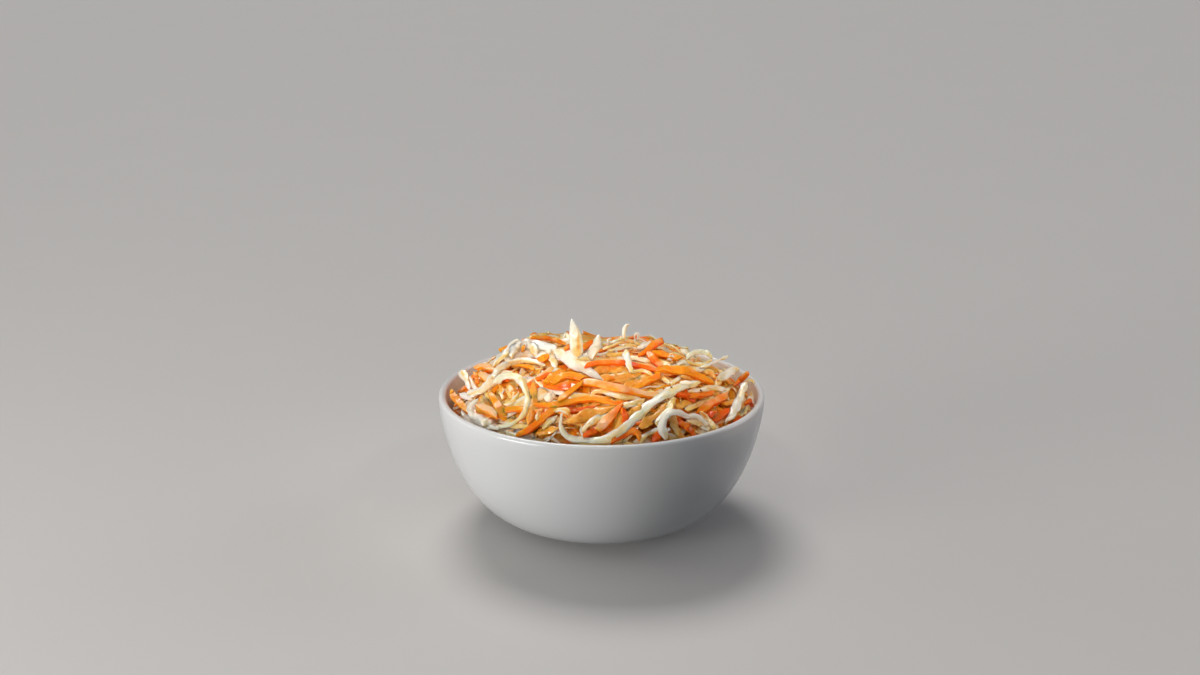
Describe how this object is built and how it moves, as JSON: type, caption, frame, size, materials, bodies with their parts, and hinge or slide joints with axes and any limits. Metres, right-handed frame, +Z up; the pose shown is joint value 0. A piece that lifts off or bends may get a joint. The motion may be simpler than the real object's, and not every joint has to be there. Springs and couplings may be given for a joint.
{
  "type": "bowl of coleslaw",
  "caption": "Round white glazed bowl on a low foot ring, heaped above its rim with shredded cabbage and carrot in a creamy dressing.",
  "frame": {"origin": "centre of the foot ring's resting face", "axes": "+Z up along the bowl's axis, -Y the front, +X to the right seen from the front"},
  "size_m": [0.14, 0.14, 0.0903],
  "materials": {
    "glazed_bowl": "white glazed ceramic, smooth, soft gloss",
    "dressed_shreds": "moist cream, pale green and orange shreds with a thin creamy coat"
  },
  "bodies": {
    "root": {"bowl": "glazed_bowl", "coleslaw": "dressed_shreds"}
  },
  "joints": []
}
